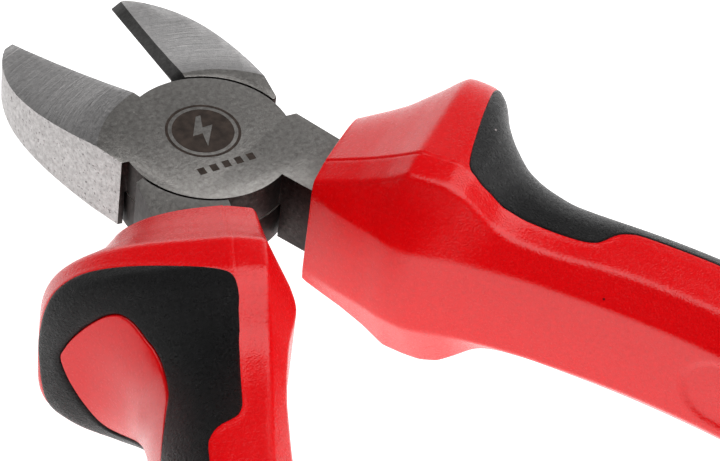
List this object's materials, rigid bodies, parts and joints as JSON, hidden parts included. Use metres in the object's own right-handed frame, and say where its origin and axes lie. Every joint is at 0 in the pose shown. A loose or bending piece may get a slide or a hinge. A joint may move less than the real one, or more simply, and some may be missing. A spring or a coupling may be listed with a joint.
{
  "type": "diagonal cutting pliers",
  "caption": "Diagonal cutting pliers with a round riveted lap joint, hollow-ground jaws and guarded two-component handles that open and close on one pivot.",
  "frame": {"origin": "where the pivot axis crosses the back face of the lap joint, on the flat head of the pivot rivet", "axes": "+Z along the pivot axis, out of the joint's front face; +Y from the pivot to the tips of the jaws; +X towards the handle of the front half. The pliers are modelled standing 26 degrees open"},
  "size_m": [0.1068, 0.1519, 0.029],
  "materials": {
    "steel": "satin ground tool steel, darker at the edge facets",
    "rivet_steel": "satin, ground flush",
    "red_plastic": "satin moulded plastic with a fine grain",
    "black_grip": "matt soft rubber with a sandpaper grain"
  },
  "bodies": {
    "front_half": {"front_half": "steel", "pivot_rivet": "rivet_steel", "right_handle_core": "red_plastic", "right_handle_grip": "black_grip"},
    "back_half": {"back_half": "steel", "left_handle_core": "red_plastic", "left_handle_grip": "black_grip"}
  },
  "joints": [
    {"name": "pivot", "type": "hinge", "parent": "front_half", "child": "back_half", "pos_m": [0, 0, 0], "axis": [0, 0, 1], "range_deg": [-16, 26]}
  ]
}
